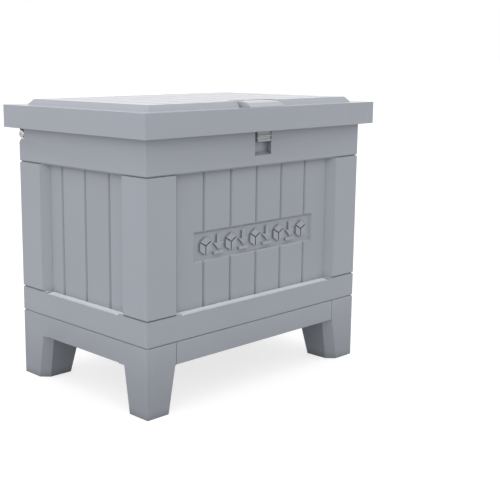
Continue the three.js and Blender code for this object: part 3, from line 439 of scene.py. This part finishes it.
SLOT_OF = {part["node"]: part["material_slot"] for part in frame["record"]["subparts"]}
EDGE_WIDTH = {
    "shell_plastic": 1.1 * MM,
    "inner_plastic": 0.7 * MM,
    "tab_plastic": 0.6 * MM,
    "lock_plastic": 0.5 * MM,
    "steel": 0.2 * MM,
}

for node, slot in SLOT_OF.items():
    dress(node, slot, EDGE_WIDTH.get(slot, 0))

# ------------------------------------------------------------------ finer pieces

BODY_OF = {
    node: body for body, nodes in frame["record"]["behaviour"]["bodies"].items() for node in nodes
}
SMOOTH = math.radians(38)


def turned(name, profile, sides=40):
    """A solid of revolution about Z. The profile's points are (radius, height) in millimetres."""
    solid = bmesh.new()
    rings = []
    for radius, height in profile:
        if radius == 0:
            rings.append([solid.verts.new((0, 0, height * MM))])
            continue
        turns = [2 * math.pi * i / sides for i in range(sides)]
        ring = [(radius * MM * math.cos(a), radius * MM * math.sin(a), height * MM) for a in turns]
        rings.append([solid.verts.new(point) for point in ring])
    for low, high in zip(rings, rings[1:]):
        for i in range(sides):
            j = (i + 1) % sides
            if len(low) == 1:
                solid.faces.new((low[0], high[j], high[i]))
            elif len(high) == 1:
                solid.faces.new((low[i], low[j], high[0]))
            else:
                solid.faces.new((low[i], low[j], high[j], high[i]))
    bmesh.ops.remove_doubles(solid, verts=solid.verts, dist=1e-7)
    bmesh.ops.recalc_face_normals(solid, faces=solid.faces)
    return finished(name, solid)


def boxes(name, blocks):
    """A mesh of plain blocks, each as its (low, high) along X, Y and Z in millimetres."""
    solid = bmesh.new()
    for x, y, z in blocks:
        size = Matrix.Diagonal(((x[1] - x[0]) * MM, (y[1] - y[0]) * MM, (z[1] - z[0]) * MM, 1))
        middle = Vector((sum(x), sum(y), sum(z))) * MM / 2
        bmesh.ops.create_cube(solid, size=1, matrix=Matrix.Translation(middle) @ size)
    return finished(name, solid)


def finished(name, solid):
    mesh = bpy.data.meshes.new(name)
    solid.to_mesh(mesh)
    solid.free()
    mesh.shade_smooth()
    mesh.set_sharp_from_angle(angle=SMOOTH)
    return mesh


def stand_in(name, mesh, place, slot, body, nodes=(), look=None):
    """A piece drawn finer than the solids of its nodes, which it stands for."""
    piece = bpy.data.objects.new(name, mesh)
    piece.matrix_world = place
    bpy.context.scene.collection.objects.link(piece)
    if not mesh.materials:
        mesh.materials.append(look or LOOKS[slot])
    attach(piece, body)
    if nodes:
        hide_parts(*nodes)
    return piece


def box_of(node):
    low, high = (Vector(corner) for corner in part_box(node))
    return low, high, (low + high) / 2


ALONG_Y = Matrix.Rotation(math.radians(-90), 4, "X")  # takes +Z to +Y
AGAINST_Y = Matrix.Rotation(math.radians(90), 4, "X")
ALONG_X = Matrix.Rotation(math.radians(90), 4, "Y")


def cross_screw(name, head, rise, shank, length):
    """A pan-head screw, head down: head radius and height, shank radius and length."""
    angles = (0, 0.35, 0.7, 1.05, 1.35, 1.57)
    dome = [(head * math.sin(a), -rise * (0.25 + 0.75 * math.cos(a))) for a in angles]
    profile = [*dome, (head, 0), (shank * 0.85, 0)]
    height, pitch = 0.6, 0.8
    while height + pitch < length - 1.5:
        profile += [(shank * 0.8, height), (shank, height + pitch / 2)]
        height += pitch
    profile += [(shank * 0.8, length - 1.3), (0, length)]
    blank = bpy.data.objects.new("blank", turned(name, profile))
    arm, slot, floor = head * 0.56, head * 0.13, -rise * 0.42
    deep = (-rise - 1, floor)
    cross = boxes("cross", [((-arm, arm), (-slot, slot), deep), ((-slot, slot), (-arm, arm), deep)])
    cutter = bpy.data.objects.new("cutter", cross)
    for thing in (blank, cutter):
        bpy.context.scene.collection.objects.link(thing)
    recess = blank.modifiers.new("recess", "BOOLEAN")
    recess.object = cutter
    recess.operation = "DIFFERENCE"
    recess.use_self = True
    seen = blank.evaluated_get(bpy.context.evaluated_depsgraph_get())
    mesh = bpy.data.meshes.new_from_object(seen)
    mesh.name = name
    bpy.data.objects.remove(blank)
    bpy.data.objects.remove(cutter)
    return mesh


SCREWS = {
    "liner_screw": (3.6, 2, 1.6, 14),
    "lock_screw": (4.2, 2.4, 2, 7.5),
    "cover_screw": (2.8, 1.6, 1.25, 11),
    "strike_screw": (3, 1.2, 1.6, 7),
}


def fit_screws():
    dice = random.Random(7)
    for kind, sizes in SCREWS.items():
        mesh = cross_screw(kind, *sizes)
        for node in sorted(n for n in NODES if n.startswith(kind)):
            low, high, middle = box_of(node)
            spin = Matrix.Rotation(dice.uniform(0, math.pi), 4, "Z")
            rise = sizes[1] * MM
            if kind == "strike_screw":
                place = Matrix.Translation((middle.x, high.y - rise, middle.z)) @ AGAINST_Y @ spin
            else:
                place = Matrix.Translation((middle.x, middle.y, low.z + rise)) @ spin
            stand_in(f"{node}_fine", mesh, place, "screw_steel", BODY_OF[node], [node])


def sleeve_look():
    """Black battery sleeve with a copper band at its button end."""
    look = Look("battery_wrap", (0.02, 0.02, 0.022), 0.25, Coat_Weight=0.5)
    along = look.node("ShaderNodeSeparateXYZ", Vector=look.place()).outputs["Z"]
    band = look.between(along, 11.9 * MM, 12.1 * MM)
    look.colour(look.mix(band, (0.02, 0.02, 0.022, 1), (0.5, 0.24, 0.1, 1)))
    return look.material


def fit_batteries():
    radius, half = 7.25, 25.25
    sleeve = turned(
        "sleeve",
        [
            (6.1, -half + 0.15),
            (6.6, -half),
            (7.05, -half + 0.2),
            (radius, -half + 0.7),
            (radius, half - 1.7),
            (7.05, half - 1.15),
            (6.6, half - 1),
            (6.1, half - 1.15),
            (6.1, -half + 0.15),
        ],
        48,
    )
    ends = turned(
        "terminals",
        [
            (0, -half + 0.2),
            (3.5, -half + 0.2),
            (3.9, -half + 0.45),
            (6.05, -half + 0.45),
            (6.05, half - 1.4),
            (2.9, half - 1.4),
            (2.7, half - 1.1),
            (2.6, half - 0.2),
            (2.3, half),
            (0, half),
        ],
        48,
    )
    wrap = sleeve_look()
    for number in range(1, 5):
        node = f"battery_{number}"
        turn = ALONG_Y if number % 2 else AGAINST_Y
        place = Matrix.Translation(box_of(node)[2]) @ turn
        body = BODY_OF[node]
        stand_in(f"{node}_sleeve", sleeve, place, "battery_sleeve", body, [node], wrap)
        stand_in(f"{node}_terminals", ends, place, "nickel_plate", body)


def fit_hinge():
    low, high, middle = box_of("hinge_rod")
    radius, half = (high.z - low.z) / 2 / MM, (high.x - low.x) / 2 / MM
    profile = [
        (0, -half),
        (radius - 0.5, -half),
        (radius, 0.5 - half),
        (radius, half - 0.5),
        (radius - 0.5, half),
        (0, half),
    ]
    rod = turned("rod", profile, 48)
    place = Matrix.Translation(middle) @ ALONG_X
    stand_in("hinge_rod_fine", rod, place, "steel", "box", ["hinge_rod"])
    for side, node in ((-1, "hinge_cap_left"), (1, "hinge_cap_right")):
        low, high, middle = box_of(node)
        radius, half = (high.z - low.z) / 2 / MM, (high.x - low.x) / 2 / MM
        profile = [
            (0, -half),
            (radius - 0.3, -half),
            (radius, 0.3 - half),
            (radius, half - 1.2),
            (radius - 0.4, half - 0.5),
            (radius - 1.2, half - 0.1),
            (radius - 2.2, half),
            (2.6, half),
            (2.2, half - 0.7),
            (0, half - 0.7),
        ]
        turn = Matrix.Rotation(math.radians(90 * side), 4, "Y")
        cap = turned("cap", profile, 48)
        place = Matrix.Translation(middle) @ turn
        stand_in(f"{node}_fine", cap, place, "nickel_plate", "box", [node])


def fit_board():
    """The board's parts, in millimetres from its lowest front left corner."""
    low, high = box_of("circuit_board")[:2]
    corner = Matrix.Translation(low)
    width, depth = (high.x - low.x) / MM, (high.y - low.y) / MM
    rows = [
        ("board_plate", "board", [((0, width), (0, depth), (0, 1.6))]),
        (
            "board_chips",
            "lock_plastic",
            [
                ((14, 26), (8, 20), (1.8, 3.2)),
                ((66, 71), (8, 14), (1.8, 3)),
                ((8, 12), (28, 33), (1.8, 3)),
            ]
            + [((44 + 4 * i, 46 + 4 * i), (30, 31.2), (1.6, 2.2)) for i in range(5)],
        ),
        (
            "board_metal",
            "nickel_plate",
            [((42, 62), (6, 22), (1.6, 4))]
            + [((14.6 + 1.5 * i, 15.2 + 1.5 * i), (6.8, 21.2), (1.6, 2.2)) for i in range(8)]
            + [((12.8, 27.2), (8.6 + 1.5 * i, 9.2 + 1.5 * i), (1.6, 2.2)) for i in range(8)]
            + [((43.4 + 4 * i, 46.6 + 4 * i), (30.1, 31.1), (1.6, 2.05)) for i in range(5)],
        ),
        (
            "board_plug",
            "gear_plastic",
            [
                ((width - 14, width - 4), (depth - 9, depth - 7.8), (1.6, 6)),
                ((width - 14, width - 4), (depth - 2.2, depth - 1), (1.6, 6)),
                ((width - 14, width - 12.8), (depth - 9, depth - 1), (1.6, 6)),
                ((width - 5.2, width - 4), (depth - 9, depth - 1), (1.6, 6)),
            ],
        ),
    ]
    for name, slot, blocks in rows:
        nodes = ["circuit_board"] if name == "board_plate" else []
        stand_in(name, boxes(name, blocks), corner, slot, "lid", nodes)
    profile = [
        (0, 1.6),
        (3.9, 1.6),
        (4, 2),
        (4, 2.6),
        (3.7, 2.9),
        (4, 3.2),
        (4, 8.6),
        (3.6, 9),
        (0, 9),
    ]
    can = turned("storage", profile)
    place = corner @ Matrix.Translation((34 * MM, (depth - 10) * MM, 0))
    stand_in("board_storage", can, place, "nickel_plate", "lid")


fit_screws()
fit_batteries()
fit_hinge()
fit_board()

# ------------------------------------------------------------------ scene

make_camera()
make_floor()
make_world()
make_lights()
bpy.context.scene.view_settings.view_transform = "Standard"

boxes = {"cad": CAD_BOX, "visual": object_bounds()}
